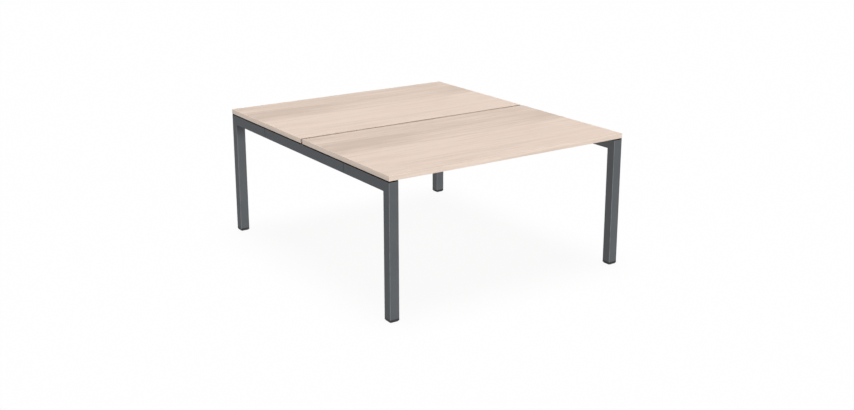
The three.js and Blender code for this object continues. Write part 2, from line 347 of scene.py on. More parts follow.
class Graph:
    """Node tree with short ways to add and join nodes."""

    def __init__(self, tree: NodeTree) -> None:
        """Works on an existing tree."""
        self.tree = tree

    def feed(self, socket: NodeSocket, value: object) -> None:
        """Links a socket to another one, or sets it to a plain value.

        Args:
            socket: The input to feed.
            value: Another node's output, or the plain value.
        """
        if isinstance(value, NodeSocket):
            self.tree.links.new(value, socket)
        else:
            socket.default_value = value

    def node(self, kind: str, *values: object, **settings: object) -> Node:
        """Adds a node.

        Args:
            kind: Blender's name for the node.
            values: What its first inputs take, in order.
            settings: Properties to set on it.

        Returns:
            The new node.
        """
        made = self.tree.nodes.new(kind)
        for name, value in settings.items():
            setattr(made, name, value)
        for socket, value in zip(made.inputs, values):
            self.feed(socket, value)
        return made

    def named(self, node: Node, **values: object) -> Node:
        """Feeds a node's inputs by name.

        Args:
            node: The node.
            values: What each named input takes, with _ for a space.

        Returns:
            The same node.
        """
        for name, value in values.items():
            self.feed(node.inputs[name.replace("_", " ")], value)
        return node

    def math(self, operation: str, *values: Feed, clamp: bool = False) -> NodeSocket:
        """Adds one step of arithmetic, kept from 0 to 1 if it is clamped."""
        return self.node("ShaderNodeMath", *values, operation=operation, use_clamp=clamp).outputs[0]

    def fold(self, operation: str, *values: Feed) -> NodeSocket:
        """Takes any number of values together by one kind of step, in order."""
        return reduce(partial(self.math, operation), values)

    def swing(self, noise: NodeSocket, weight: float) -> NodeSocket:
        """Centres noise on 0 and weighs it."""
        return self.math("MULTIPLY", self.math("SUBTRACT", noise, 0.5), weight)

    def noise(self, vector: Feed, scale: Feed, detail: float, rough: float = 0.55) -> NodeSocket:
        """Adds soft noise from 0 to 1, with so many lumps in a metre and so many finer layers."""
        made = self.node("ShaderNodeTexNoise", noise_dimensions="3D")
        return self.named(made, Vector=vector, Scale=scale, Detail=detail, Roughness=rough).outputs["Fac"]

    def ramp(self, value: Feed, span: Sequence[Feed], result: Sequence[Feed] = (0.0, 1.0)) -> NodeSocket:
        """Eases a value from the start and end of one span to those of the result."""
        numbers = (value, *span, *result)
        return self.node("ShaderNodeMapRange", *numbers, interpolation_type="SMOOTHSTEP").outputs[0]

    def blend(self, share: Feed, low: object, high: object) -> NodeSocket:
        """Mixes two colours, with the share of the second one."""
        made = self.node("ShaderNodeMix", data_type="RGBA")
        return self.named(made, Factor=share, A=low, B=high).outputs["Result"]

    def placed(self, group: NodeTree, **values: object) -> Node:
        """Places a node group and feeds its inputs by name."""
        return self.named(self.node("ShaderNodeGroup", node_tree=group), **values)


def colour(code: str) -> tuple[float, float, float, float]:
    """Linear colour, with full cover, of a screen colour given as six hexadecimal digits."""
    shares = [int(code[start : start + 2], 16) / 255 for start in (0, 2, 4)]
    return (*Color(shares).from_srgb_to_scene_linear(), 1.0)


def new_group(
    name: str, amounts: Sequence[str], results: Sequence[str]
) -> tuple[Graph, NodeOutputs, Node]:
    """Starts a shader node group that takes coordinates and amounts.

    Args:
        name: Name of the group.
        amounts: Names of the numbers that go in, beside Vector.
        results: Names of the numbers that come out.

    Returns:
        The group's graph, what goes in by name, and the node that takes the results.
    """
    tree = bpy.data.node_groups.new(name, "ShaderNodeTree")
    tree.interface.new_socket("Vector", in_out="INPUT", socket_type="NodeSocketVector")
    for label in amounts:
        tree.interface.new_socket(label, in_out="INPUT", socket_type="NodeSocketFloat")
    for label in results:
        tree.interface.new_socket(label, in_out="OUTPUT", socket_type="NodeSocketFloat")
    graph = Graph(tree)
    return graph, graph.node("NodeGroupInput").outputs, graph.node("NodeGroupOutput")


@dataclass(frozen=True)
class Streak:
    """Dark streak of the wood decor, along X in a desktop's own frame."""

    middle: float
    half: float
    depth: float
    start: float = -2.0
    end: float = 2.0
    fade: float = 0.35


@dataclass(frozen=True)
class Fibres:
    """Noise that is drawn out along X, with its lumps in a metre along and across, and its weight."""

    along: float
    across: float
    detail: float
    rough: float = 0.55
    weight: float = 1.0

    def noise(self, graph: Graph, vector: NodeSocket) -> NodeSocket:
        """Builds the noise.

        Args:
            graph: Graph to build it in.
            vector: Coordinates.

        Returns:
            The noise's socket, from 0 to 1.
        """
        scale = (self.along, self.across, self.across)
        drawn = graph.node("ShaderNodeVectorMath", vector, scale, operation="MULTIPLY")
        return graph.noise(drawn.outputs[0], 1.0, self.detail, self.rough)


@dataclass(frozen=True)
class Effects:
    """Node groups that several finishes share."""

    grain: NodeTree
    wear_and_highlight: NodeTree
    mottle: NodeTree
    texture: NodeTree

    # Wood grain: the grain's wander, where pale turns to dark, the streaks, the fibres and the pores.
    DRIFT = Fibres(1.1, 3.0, 2.0, weight=0.09)
    SHADE_SPAN = (-0.05, 0.10)
    STREAKS = (
        Streak(0.150, 0.085, 0.55, end=-0.05, fade=0.45),
        Streak(0.228, 0.034, 0.30),
        Streak(0.115, 0.055, 0.38, start=0.30),
        Streak(0.362, 0.030, 0.25),
        Streak(-0.139, 0.012, 0.22),
        Streak(-0.280, 0.022, 0.24, end=0.35),
    )
    BROAD = Fibres(0.9, 24.0, 2.0, weight=0.3)
    PLAIN = Fibres(2.0, 58.0, 5.0, 0.82, weight=5.8)
    FINE = Fibres(7.0, 330.0, 3.0, weight=1.4)
    PORES = Fibres(24.0, 1000.0, 2.0)
    PORE_SPAN = (0.54, 0.70)
    # Edge wear and painted edge highlight: how near a normal lies to an axis, how far it leans from
    # level, how patchy it is.
    EDGE_SPAN = (0.985, 0.80)
    UPRIGHT_SPAN = (0.05, 0.35)
    PATCH_SPAN = (0.30, 0.62)
    PATCH_COVER = (0.45, 1.0)
    # Mottle: the marks' scale and share. Fine texture: the peel's scale and the pebbles' height.
    MARK_SCALE = 9.0
    MARK_SHARE = 0.35
    PEEL_SCALE = 0.35
    PEBBLE_HEIGHT = -0.6

    @classmethod
    def build(cls) -> Effects:
        """Makes every group once."""
        return cls(cls.wood_grain(), cls.edge_wear_and_highlight(), cls.soft_mottle(), cls.fine_texture())

    @classmethod
    def wood_grain(cls) -> NodeTree:
        """Wood decor with its fibres along X.

        Returns:
            A group that puts out the decor's tone, from pale to dark, and the height of its pores.
        """
        amounts = ("Shade", "Streaks", "Fibres", "Pores")
        graph, given, out = new_group("wood_grain", amounts, ("Tone", "Height"))
        vector = given["Vector"]
        axes = graph.node("ShaderNodeSeparateXYZ", vector).outputs
        drift = graph.swing(cls.DRIFT.noise(graph, vector), cls.DRIFT.weight)
        across = graph.math("ADD", drift, axes["Y"])
        dark = graph.math("MULTIPLY", graph.ramp(across, cls.SHADE_SPAN), given["Shade"])
        for streak in cls.STREAKS:
            offset = graph.math("DIVIDE", graph.math("SUBTRACT", across, streak.middle), streak.half)
            bell = graph.math("EXPONENT", graph.fold("MULTIPLY", offset, offset, -1.0))
            begun = graph.ramp(axes["X"], (streak.start, streak.start + streak.fade))
            ended = graph.ramp(axes["X"], (streak.end, streak.end - streak.fade))
            shown = graph.fold("MULTIPLY", begun, ended, bell, streak.depth)
            dark = graph.math("MULTIPLY_ADD", shown, given["Streaks"], dark)
        noises = {layer: layer.noise(graph, vector) for layer in (cls.BROAD, cls.PLAIN, cls.FINE)}
        for layer, noise in noises.items():
            dark = graph.math("MULTIPLY_ADD", graph.swing(noise, layer.weight), given["Fibres"], dark)
        pore = graph.ramp(cls.PORES.noise(graph, vector), cls.PORE_SPAN)
        tone = graph.math("MULTIPLY_ADD", pore, given["Pores"], dark, clamp=True)
        graph.named(out, Tone=tone, Height=graph.math("SUBTRACT", noises[cls.FINE], pore))
        return graph.tree

    @classmethod
    def edge_wear_and_highlight(cls) -> NodeTree:
        """Rubbed places on rounded edges, and the painted highlight that the frame paint puts there.

        Returns:
            A group that puts out a mask, 0 on flat faces and up to 1 on the edges between them. Level is
            the share of it that edges which don't stand upright get.
        """
        graph, given, out = new_group("edge_wear_and_highlight", ("Patches", "Level"), ("Mask",))
        facing = graph.node("ShaderNodeNewGeometry").outputs["Normal"]
        normal = graph.node("ShaderNodeVectorMath", facing, operation="ABSOLUTE")
        axes = graph.node("ShaderNodeSeparateXYZ", normal.outputs[0]).outputs
        edge = graph.ramp(graph.fold("MAXIMUM", *axes), cls.EDGE_SPAN)
        upright = graph.ramp(axes["Z"], cls.UPRIGHT_SPAN, (1.0, given["Level"]))
        lumps = graph.noise(given["Vector"], given["Patches"], detail=3.0)
        patch = graph.ramp(lumps, cls.PATCH_SPAN, cls.PATCH_COVER)
        graph.named(out, Mask=graph.fold("MULTIPLY", edge, upright, patch))
        return graph.tree

    @classmethod
    def soft_mottle(cls) -> NodeTree:
        """Broad unevenness of a coat, with faint handling marks.

        Returns:
            A group that puts out a value that swings about 0.5.
        """
        graph, given, out = new_group("soft_mottle", ("Scale",), ("Value",))
        broad = graph.noise(given["Vector"], given["Scale"], detail=3.0)
        scale = graph.math("MULTIPLY", given["Scale"], cls.MARK_SCALE)
        marks = graph.noise(given["Vector"], scale, detail=2.0)
        rest = graph.math("MULTIPLY", broad, 1.0 - cls.MARK_SHARE)
        graph.named(out, Value=graph.math("MULTIPLY_ADD", marks, cls.MARK_SHARE, rest))
        return graph.tree

    @classmethod
    def fine_texture(cls) -> NodeTree:
        """Tight pebbled skin of powder coat, moulded plastic and rubber.

        Returns:
            A group that puts out the skin's height.
        """
        graph, given, out = new_group("fine_texture", ("Scale",), ("Height",))
        voronoi = graph.node("ShaderNodeTexVoronoi", feature="SMOOTH_F1")
        pebble = graph.named(voronoi, Vector=given["Vector"], Scale=given["Scale"]).outputs["Distance"]
        scale = graph.math("MULTIPLY", given["Scale"], cls.PEEL_SCALE)
        peel = graph.noise(given["Vector"], scale, detail=2.0)
        graph.named(out, Height=graph.math("MULTIPLY_ADD", pebble, cls.PEBBLE_HEIGHT, peel))
        return graph.tree


@dataclass(frozen=True)
class Surface:
    """What a finish is built from: a material's graph, the shared effects, coordinates and mottle."""

    graph: Graph
    effects: Effects
    own: NodeSocket
    mottle: NodeSocket

    def wear_and_highlight(self, patches: float, level_share: float = 1.0) -> NodeSocket:
        """Mask of the rubbed edges, and of the frame paint's painted highlight, with the share that level
        edges get.
        """
        values = {"Vector": self.own, "Patches": patches, "Level": level_share}
        return self.graph.placed(self.effects.wear_and_highlight, **values).outputs["Mask"]

    def texture(self, scale: float) -> NodeSocket:
        """Height of a pebbled skin with so many pebbles in a metre."""
        return self.graph.placed(self.effects.texture, Vector=self.own, Scale=scale).outputs["Height"]


@dataclass(frozen=True)
class Finish:
    """Finish of one material slot."""

    slot: Slot
    base: str
    second: str
    rough: Flat
    gloss: float = 0.5
    metal: float = 0.0
    clouds: float = 30.0
    cloud_span: Flat = (0.3, 0.7)
    rough_span: Flat = (0.25, 0.75)
    pebble: float = 1100.0
    depth: float = 0.0001

    def material(self, effects: Effects) -> Material:
        """Builds the finish's material.

        Args:
            effects: The shared node groups.

        Returns:
            The material.
        """
        material = bpy.data.materials.new(self.slot.value)
        material.use_nodes = True
        graph = Graph(material.node_tree)
        own = graph.node("ShaderNodeTexCoord").outputs["Object"]
        mottle = graph.placed(effects.mottle, Vector=own, Scale=self.clouds).outputs["Value"]
        tone, height = self.layers(Surface(graph, effects, own, mottle))
        relief = graph.named(graph.node("ShaderNodeBump"), Height=height, Distance=self.depth)
        shader = material.node_tree.nodes["Principled BSDF"]
        graph.named(shader, Metallic=self.metal, Specular_IOR_Level=self.gloss, Base_Color=tone)
        rough = graph.ramp(mottle, self.rough_span, self.rough)
        graph.named(shader, Roughness=rough, Normal=relief.outputs["Normal"])
        return material

    def layers(self, surface: Surface) -> tuple[NodeSocket, NodeSocket]:
        """Colour of the finish, clouded with its second colour, and the height of its pebbled skin.

        Args:
            surface: What the finish is built from.

        Returns:
            The colour and the height.
        """
        cloud = surface.graph.ramp(surface.mottle, self.cloud_span)
        tone = surface.graph.blend(cloud, colour(self.base), colour(self.second))
        return tone, surface.texture(self.pebble)


@dataclass(frozen=True)
class WoodDecor(Finish):
    """Printed wood decor with open pores under matt lacquer."""

    clouds: float = 4.0
    depth: float = 0.00004
    shade: float = 0.40
    streaks: float = 1.0
    fibres: float = 0.55
    pores: float = 0.28
    worn: float = 0.0
    patches: float = 60.0

    def layers(self, surface: Surface) -> tuple[NodeSocket, NodeSocket]:
        """Colour of the decor, plainer where edges are worn, and the height of its pores.

        Args:
            surface: What the finish is built from.

        Returns:
            The colour and the height.
        """
        graph, pale = surface.graph, colour(self.base)
        group = graph.placed(surface.effects.grain, Vector=surface.own, Shade=self.shade)
        amounts = {"Streaks": self.streaks, "Fibres": self.fibres, "Pores": self.pores}
        grain = graph.named(group, **amounts).outputs
        tone = graph.blend(grain["Tone"], pale, colour(self.second))
        if self.worn:
            rubbed_and_highlight = graph.math("MULTIPLY", surface.wear_and_highlight(self.patches), self.worn)
            tone = graph.blend(rubbed_and_highlight, tone, pale)
        return tone, grain["Height"]


@dataclass(frozen=True)
class BandDecor(WoodDecor):
    """The same decor on an edge band: without streaks, and worn on its edges."""

    shade: float = 1.0
    streaks: float = 0.0
    fibres: float = 0.35
    pores: float = 0.25
    worn: float = 0.4


@dataclass(frozen=True)
class PowderCoat(Finish):
    """Stoved powder coat with a tight texture, and a patchy painted highlight on its rounded upright
    edges.
    """

    gloss: float = 0.06
    clouds: float = 7.0
    pebble: float = 900.0
    depth: float = 0.00022
    lift: float = 1.10
    patches: float = 25.0
    level_share: float = 0.1

    def layers(self, surface: Surface) -> tuple[NodeSocket, NodeSocket]:
        """Colour of the coat, faintly clouded, with its second colour as a painted highlight on rounded
        edges, and its height.

        Args:
            surface: What the finish is built from.

        Returns:
            The colour and the height.
        """
        graph, deep = surface.graph, colour(self.base)
        lighter = tuple(min(1.0, channel * self.lift) for channel in deep)
        coat = graph.blend(graph.ramp(surface.mottle, self.cloud_span), deep, lighter)
        # Painted highlight: rounded edges, upright ones most, take the second colour in patches.
        rubbed_and_highlight = surface.wear_and_highlight(self.patches, self.level_share)
        return graph.blend(rubbed_and_highlight, coat, colour(self.second)), surface.texture(self.pebble)


@dataclass(frozen=True)
class ZincPlate(Finish):
    """Bright zinc plate with a cloudy passivated bloom."""

    metal: float = 1.0
    clouds: float = 90.0
    pebble: float = 2600.0
    depth: float = 0.00003


@dataclass(frozen=True)
class MouldedBlack(Finish):
    """Black moulded plastic, scuffed paler on its edges."""

    gloss: float = 0.3
    cloud_span: Flat = (0.3, 0.75)
    cloud_share: float = 0.35
    patches: float = 140.0
    scuff: float = 0.6

    def layers(self, surface: Surface) -> tuple[NodeSocket, NodeSocket]:
        """Colour of the moulding, paler where it is clouded or scuffed, and its height.

        Args:
            surface: What the finish is built from.

        Returns:
            The colour and the height.
        """
        graph = surface.graph
        cloud = graph.math("MULTIPLY", graph.ramp(surface.mottle, self.cloud_span), self.cloud_share)
        pale = graph.math("MULTIPLY_ADD", surface.wear_and_highlight(self.patches), self.scuff, cloud, clamp=True)
        return graph.blend(pale, colour(self.base), colour(self.second)), surface.texture(self.pebble)


@dataclass(frozen=True)
class StripRubber(MouldedBlack):
    """Dull black rubber with a coarser skin."""

    gloss: float = 0.0
    pebble: float = 700.0
    depth: float = 0.00016
    scuff: float = 0.3


FINISHES: tuple[Finish, ...] = (
    WoodDecor(Slot.LAMINATE, "e4cfbf", "c7b2a2", (0.46, 0.60)),
    BandDecor(Slot.EDGE_BAND, "e7d4c5", "c9b6a7", (0.42, 0.56)),
    # The frame paint's second colour is a painted highlight on its rounded edges.
    PowderCoat(Slot.FRAME_PAINT, "5a5d60", "8b8e91", (0.50, 0.64)),
    ZincPlate(Slot.ZINC, "c2c6ca", "a3a8a6", (0.26, 0.42)),
    MouldedBlack(Slot.FOOT_PLASTIC, "1b1b1d", "3c3c3d", (0.45, 0.62)),
    StripRubber(Slot.STRIP_RUBBER, "0d0c0b", "1c1a18", (0.66, 0.84)),
)


@dataclass(frozen=True)
class Piece:
    """One visible piece with what it stands for."""

    item: Object
    slot: Slot
    body: str
    nodes: tuple[str, ...]


@dataclass
class SubAssembly:
    """Group of pieces that are built and dressed together."""

    layout: Layout
    pieces: list[Piece] = field(default_factory=list, init=False)

    def add(self, item: Object, slot: Slot, *nodes: str, body: str = "desk") -> None:
        """Notes a finished piece with its slot, the frame's nodes that it stands for and its body."""
        self.pieces.append(Piece(item, slot, body, nodes))

    def build(self) -> None:
        """Builds the meshes."""
        raise NotImplementedError

    def dress(self, materials: dict[Slot, Material]) -> None:
        """Gives every piece its finish and its place in the frame.

        Args:
            materials: Material of each slot.
        """
        for piece in self.pieces:
            piece.item.data.materials.append(materials[piece.slot])
            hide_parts(*piece.nodes)
            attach(piece.item, piece.body)
            LOG.info("%s rides on %s in %s", piece.item.name, piece.body, piece.slot.value)


@dataclass
class CornerAssembly(SubAssembly):
    """Sub-assembly that the desk has one of at each corner."""

    side: Side
    place: Place

    @property
    def label(self) -> str:
        """Name of this corner in the frame's nodes."""
        return f"{self.side.label}_{self.place.label}"


@dataclass
class EndCorner(CornerAssembly):
    """Leg and arm of an end frame, ground to one mitred tube, with the seal strip on the arm."""

    leg_foot: float = 0.0148
    corner_round: float = 0.0012
    corner_steps: int = 4
    foot_chamfer: float = 0.0004
    strip_inset: float = 0.001
    strip_groove: float = 0.0006
    groove_mouth: float = 0.4
    groove_floor: float = 0.2

    def build(self) -> None:
        """Builds the mitred tube and the strip."""
        tube = Shell().loft(self.tube_rings(), closed=True).piece(f"corner_{self.label}")
        self.add(tube, Slot.FRAME_PAINT, f"leg_{self.label}", f"arm_{self.label}")
        strip = Shell().loft(self.strip_rings()).piece(f"seal_{self.label}")
        self.add(strip, Slot.STRIP_RUBBER, f"strip_{self.label}")

    def tube_rings(self) -> list[Ring]:
        """Hollow tube up the leg, round the mitre and along the arm to the seam.

        Returns:
            The rings, up and along its outside and back through its bore.
        """
        layout, foot, axis = self.layout, self.leg_foot, self.layout.rail_axis
        skin, bore = layout.tube_outline(), layout.tube_outline(layout.tube_wall)
        foot_rim = layout.tube_outline(self.foot_chamfer)
        seam_rim = layout.tube_outline(layout.seam_chamfer)
        seam = layout.desk_y + layout.seam_gap / 2
        turns = [QUARTER * step / self.corner_steps for step in range(self.corner_steps + 1)]
        return [
            self.laid(foot_rim, Lie.LEG, layout.leg_y, foot),
            self.laid(skin, Lie.LEG, layout.leg_y, foot + self.foot_chamfer),
            *[self.mitre_ring(skin, turn) for turn in turns],
            self.laid(skin, Lie.ARM, seam + layout.seam_chamfer, axis),
            self.laid(seam_rim, Lie.ARM, seam, axis),
            self.laid(bore, Lie.ARM, seam, axis),
            *[self.mitre_ring(bore, turn) for turn in reversed(turns)],
            self.laid(bore, Lie.LEG, layout.leg_y, foot),
        ]

    def mitre_ring(self, outline: Outline, turn: float) -> Ring:
        """Outline part of the way round the mitre, by the angle turned from the leg towards the arm."""
        out, up = self.corner_round * (math.cos(turn) - 1), self.corner_round * (math.sin(turn) - 1)
        return self.laid(outline, Lie.MITRE, self.layout.leg_y + out, self.layout.rail_axis + up)

    def laid(self, outline: Outline, lie: Lie, y: float, z: float) -> Ring:
        """Outline laid across the tube, with its middle at a distance from the desk's and at a height."""
        x, (along, up) = self.side.value * self.layout.frame_x, lie.value
        return [(x + u, self.place.value * (y + along * v), z + up * v) for u, v in outline]

    def strip_rings(self) -> list[Ring]:
        """Two-lipped seal strip between the frame and the desktop.

        Returns:
            The rings, from its inner end outwards.
        """
        layout = self.layout
        wide, thick = layout.tube / 2 - self.strip_inset, layout.shadow_gap / 2 - layout.clearance
        groove = wide - self.strip_groove
        lip = [(wide, thick), (wide, self.groove_mouth * thick), (groove, self.groove_floor * thick)]
        flank = [(u, -v) for u, v in lip] + lip[::-1]
        outline = flank + [(-u, -v) for u, v in flank]
        near = layout.cable_gap / 2 + self.strip_inset
        far = layout.cable_gap / 2 + layout.top_depth - self.strip_inset
        x, z = self.side.value * layout.frame_x, layout.top_under - layout.shadow_gap / 2
        return [[(x + u, self.place.value * y, z + v) for u, v in outline] for y in (near, far)]


@dataclass
class LevellingFoot(CornerAssembly):
    """Plug in the lower end of a leg, and the threaded foot that screws into it."""

    collar_foot: float = 0.0045
    collar_top: float = 0.0145
    collar_chamfer: float = 0.0008
    plug_top: float = 0.0425
    plug_wall: float = 0.003
    plug_round: float = 0.0007
    hollow_round: float = 0.0005
    boss: float = 0.009
    bore: float = 0.0043
    pad: float = 0.045
    pad_round: float = 0.004
    pad_thick: float = 0.0042
    pad_chamfer: float = 0.0006
    pad_floor: float = 0.0015
    # Steps of the ring groove: how much narrower than the pad, and how high.
    groove: tuple[Flat, ...] = ((0.010, 0.0), (0.0105, 0.0005), (0.0125, 0.0005), (0.013, 0.0))
    stem_foot: float = 0.0018
    stem_top: float = 0.0418
    stem_major: float = 0.004
    stem_minor: float = 0.0034
    stem_chamfer: float = 0.001
    pitch: float = 0.00125
    pitch_steps: int = 6

    def build(self) -> None:
        """Builds the collar, the thread and the glide under one leg."""
        x, y = self.side.value * self.layout.frame_x, self.place.value * self.layout.leg_y
        label, body = self.label, f"foot_{self.label}"
        collar = Shell().loft(self.collar_rings(), closed=True).piece(f"collar_{label}", (x, y, 0.0))
        self.add(collar, Slot.FOOT_PLASTIC, f"plug_{label}")
        thread = Shell().loft(self.thread_rings()).piece(f"thread_{label}", (x, y, self.stem_foot))
        self.add(thread, Slot.ZINC, f"stem_{label}", body=body)
        glide = Shell().loft(self.glide_rings()).piece(f"glide_{label}", (x, y, 0.0))
        self.add(glide, Slot.FOOT_PLASTIC, f"pad_{label}", body=body)

    def collar_rings(self) -> list[Ring]:
        """Plug with the leg's outline as collar, a hollow insert and a bored boss.

        Returns:
            The rings, down its outside, up through its bore and back over the boss and the insert.
        """
        layout, chamfer, arris = self.layout, self.collar_chamfer, self.layout.clearance
        insert = layout.tube - 2 * layout.tube_wall - 2 * layout.clearance
        shoulder = square_outline(insert, self.plug_round)
        hollow = square_outline(insert - 2 * self.plug_wall, self.hollow_round)
        bore, boss = circle_outline(self.bore), circle_outline(self.boss)
        stations = (
            (shoulder, self.collar_top),
            (layout.tube_outline(arris), self.collar_top),
            (layout.tube_outline(), self.collar_top - arris),
            (layout.tube_outline(), self.collar_foot + chamfer),
            (layout.tube_outline(chamfer), self.collar_foot),
            (circle_outline(self.bore + chamfer), self.collar_foot),
            (bore, self.collar_foot + chamfer),
            (bore, self.plug_top),
            (boss, self.plug_top),
            (boss, self.collar_top),
            (hollow, self.collar_top),
            (hollow, self.plug_top),
            (square_outline(insert - 2 * chamfer, self.hollow_round), self.plug_top),
            (shoulder, self.plug_top - chamfer),
        )
        return [level(outline, height) for outline, height in stations]

    def thread_rings(self) -> list[Ring]:
        """Stem with a cut thread and chamfered ends.

        Returns:
            The rings, from its lower end upwards.
        """
        length = self.stem_top - self.stem_foot
        count = round(length / self.pitch * self.pitch_steps)
        rings = []
        for step in range(count + 1):
            height = length * step / count
            limit = self.stem_major - self.stem_chamfer + min(height, length - height)
            ring = []
            for index in range(TURNED_POINTS):
                share = index / TURNED_POINTS
                flank = abs(2 * ((height / self.pitch - share) % 1.0) - 1)
                radius = min(limit, self.stem_minor + (self.stem_major - self.stem_minor) * flank)
                angle = 2 * math.pi * share
                ring.append((radius * math.cos(angle), radius * math.sin(angle), height))
            rings.append(ring)
        return rings

    def glide_rings(self) -> list[Ring]:
        """Square glide with a socket for the stem and a ring groove under it.

        Returns:
            The rings, up out of the socket, down its outside and in over the groove.
        """
        thick, chamfer, arris = self.pad_thick, self.pad_chamfer, self.layout.clearance
        socket = ((0.0, self.pad_floor), (0.0, thick - arris), (arris, thick))
        rings = [level(circle_outline(self.bore + wider), height) for wider, height in socket]
        rims = ((2 * arris, thick), (0.0, thick - 2 * arris), (0.0, chamfer), (2 * chamfer, 0.0))
        for inset, height in rims + self.groove:
            radius = max(self.hollow_round, self.pad_round - inset / 2)
            rings.append(level(square_outline(self.pad - inset, radius), height))
        return rings


@dataclass
class RailJoint(CornerAssembly):
    """End plate of a beam across a rail seam, its two bolts, and the sleeve behind the seam."""

    outer: float = 0.6677
    thick: float = 0.005
    wide: float = 0.120
    high: float = 0.044
    corner_round: float = 0.005
    chamfer: float = 0.0006
    spacing: float = 0.080
    hole: float = 0.0033
    bolt_radius: float = 0.003
    bolt_length: float = 0.016
    bolt_tip: float = 0.75
    head_radius: float = 0.006
    head_height: float = 0.0035
    head_seat: float = 0.97
    head_wall: float = 0.06
    dome: float = 0.45
    dome_steps: int = 6
    # Shares of the head's radius at the rim of its flat crown and at the socket's mouth.
    crown: Flat = (0.58, 0.44)
    socket: float = 0.004
    socket_arris: float = 0.0002
    socket_depth: float = 0.002

    def build(self) -> None:
        """Builds the plate and its bolts."""
        sign, y, z = self.side.value, self.place.value * self.layout.desk_y, self.layout.rail_axis
        plate = self.plate().piece(f"plate_{self.label}", (sign * self.outer, y, z))
        self.add(plate, Slot.FRAME_PAINT, f"flange_{self.label}")
        seat = sign * (self.outer - self.thick - self.layout.clearance)
        for name, step in (("outer", self.spacing / 2), ("inner", -self.spacing / 2)):
            spot = (seat, y + self.place.value * step, z)
            turn = (0.0, -sign * QUARTER, 0.0)
            bolt = Shell().loft(self.bolt_rings()).piece(f"button_{self.label}_{name}", spot, turn)
            self.add(bolt, Slot.ZINC, f"bolt_{self.label}_{name}")

    def dress(self, materials: dict[Slot, Material]) -> None:
        """Dresses the pieces, and the frame's own sleeve, which nothing replaces.

        Args:
            materials: Material of each slot.
        """
        super().dress(materials)
        name = f"sleeve_{self.label}"
        for slot in bpy.data.objects[name].material_slots:
            slot.material = materials[Slot.FRAME_PAINT]
        LOG.info("%s keeps its frame mesh in %s", name, Slot.FRAME_PAINT.value)

    def plate(self) -> Shell:
        """Plate with two bolt holes and broken edges.

        Returns:
            Its mesh about the middle of the face that lies on the rail.
        """

        def stand(outline: Outline, across: float, depth: float) -> Ring:
            """Outline on edge, facing along X."""
            return [(-self.side.value * depth, across + u, v) for u, v in outline]

        rim, walls = [], [[], []]
        for depth, cut in broken_ends(0.0, self.thick, self.chamfer):
            outline = rounded_outline((self.wide, self.high), self.corner_round, cut)
            rim.append(stand(outline, 0.0, depth))
            for wall, sign in zip(walls, (-1, 1)):
                wall.append(stand(circle_outline(self.hole + cut / 2), sign * self.spacing / 2, depth))
        return Shell().pierced(rim, walls)

    def bolt_rings(self) -> list[Ring]:
        """Button-head bolt with a hexagon socket, its head upwards.

        Returns:
            The rings, from the shank's end up and into the socket.
        """
        radius, rise, shank = self.head_radius, self.head_height, self.bolt_radius
        profile = [(self.bolt_tip * shank, -self.bolt_length)]
        profile += [(shank, (1 - self.bolt_tip) * shank - self.bolt_length), (shank, 0.0)]
        profile += [(self.head_seat * radius, 0.0), (radius, self.head_wall * rise)]
        for step in range(1, self.dome_steps):
            angle = QUARTER * step / self.dome_steps
            across = 1 - self.dome + self.dome * math.cos(angle)
            up = self.head_wall + (1 - self.head_wall) * math.sin(angle)
            profile.append((radius * across, rise * up))
        profile += [(share * radius, rise) for share in self.crown]
        depths = (self.socket_arris, self.socket_depth)
        return turned(profile) + [level(hexagon_outline(self.socket), rise - depth) for depth in depths]


@dataclass
class EndRail(SubAssembly):
    """Middle piece of an end rail, between the two seams."""

    side: Side

    def build(self) -> None:
        """Builds the hollow tube with broken ends."""
        layout = self.layout
        reach = layout.desk_y - layout.seam_gap / 2
        stations = broken_ends(-reach, reach, layout.seam_chamfer)
        stations += [(reach, layout.tube_wall), (-reach, layout.tube_wall)]
        x, z = self.side.value * layout.frame_x, layout.rail_axis
        rings = [[(x + u, y, z + v) for u, v in layout.tube_outline(inset)] for y, inset in stations]
        rail = Shell().loft(rings, closed=True).piece(f"rail_{self.side.label}")
        self.add(rail, Slot.FRAME_PAINT, f"rail_{self.side.label}_middle")


